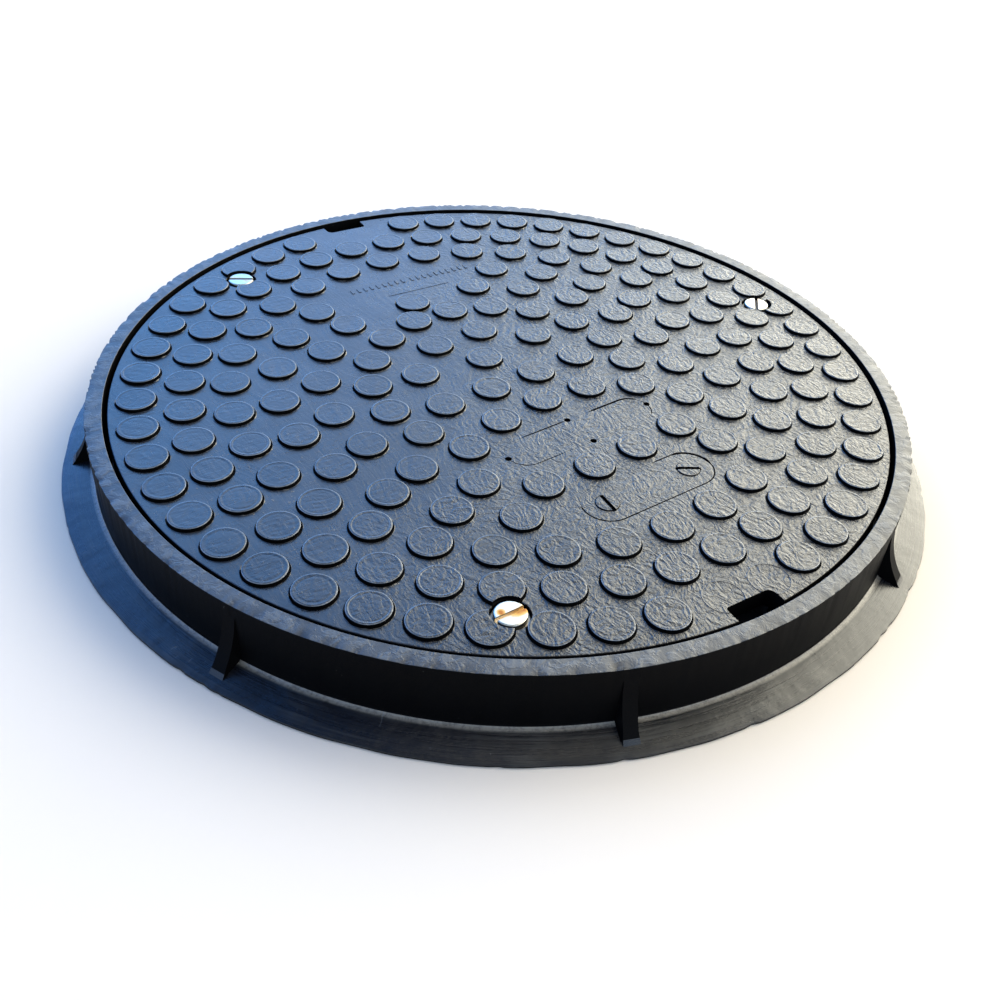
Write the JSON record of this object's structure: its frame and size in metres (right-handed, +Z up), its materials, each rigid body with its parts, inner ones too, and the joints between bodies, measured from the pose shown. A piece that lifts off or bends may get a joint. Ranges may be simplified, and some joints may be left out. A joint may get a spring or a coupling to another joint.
{
  "type": "manhole cover",
  "caption": "Round studded manhole lid seated on a seal in a flanged frame and held down by slotted lock screws.",
  "frame": {"origin": "centre of the frame's underside, on the ground plane", "axes": "+Z up, out of the road; +Y runs through one lifting pocket and -Y through the other; +X lies close to one lock screw"},
  "size_m": [0.704, 0.704, 0.056],
  "materials": {
    "frame_polymer": "semi-gloss black moulded polymer, scuffed on top of the ring",
    "lid_polymer": "semi-gloss black moulded polymer with flow marks and a crinkled skin",
    "seal_rubber": "matt black EPDM rubber",
    "zinc_steel": "bright zinc plate with rust in the slots"
  },
  "bodies": {
    "base": {"frame": "frame_polymer", "seal_ring": "seal_rubber", "lock_nut_1": "zinc_steel", "lock_nut_2": "zinc_steel", "lock_nut_3": "zinc_steel"},
    "cover": {"lid": "lid_polymer"},
    "lock_1_washer": {"lock_washer_1": "zinc_steel"},
    "lock_1_screw": {"lock_screw_1": "zinc_steel"},
    "lock_2_washer": {"lock_washer_2": "zinc_steel"},
    "lock_2_screw": {"lock_screw_2": "zinc_steel"},
    "lock_3_washer": {"lock_washer_3": "zinc_steel"},
    "lock_3_screw": {"lock_screw_3": "zinc_steel"}
  },
  "joints": [
    {"name": "lid_lift", "type": "slide", "parent": "base", "child": "cover", "axis": [0, 0, 1], "range_m": [0, 0.15]},
    {"name": "lock_1_rise", "type": "slide", "parent": "cover", "child": "lock_1_washer", "axis": [0, 0, 1], "range_m": [0, 0.01225]},
    {"name": "lock_1_turn", "type": "hinge", "parent": "lock_1_washer", "child": "lock_1_screw", "pos_m": [0.27494, -0.00576, 0.05], "axis": [0, 0, 1], "range_deg": [0, 2520.1]},
    {"name": "lock_2_rise", "type": "slide", "parent": "cover", "child": "lock_2_washer", "axis": [0, 0, 1], "range_m": [0, 0.01225]},
    {"name": "lock_2_turn", "type": "hinge", "parent": "lock_2_washer", "child": "lock_2_screw", "pos_m": [-0.13248, 0.24098, 0.05], "axis": [0, 0, 1], "range_deg": [0, 2520.1]},
    {"name": "lock_3_rise", "type": "slide", "parent": "cover", "child": "lock_3_washer", "axis": [0, 0, 1], "range_m": [0, 0.01225]},
    {"name": "lock_3_turn", "type": "hinge", "parent": "lock_3_washer", "child": "lock_3_screw", "pos_m": [-0.14246, -0.23522, 0.05], "axis": [0, 0, 1], "range_deg": [0, 2520.1]}
  ],
  "couplings": [
    {"joint": "lock_1_turn", "follows": "lock_1_rise", "rad_per_m": 3590.4},
    {"joint": "lock_2_turn", "follows": "lock_2_rise", "rad_per_m": 3590.4},
    {"joint": "lock_3_turn", "follows": "lock_3_rise", "rad_per_m": 3590.4}
  ]
}
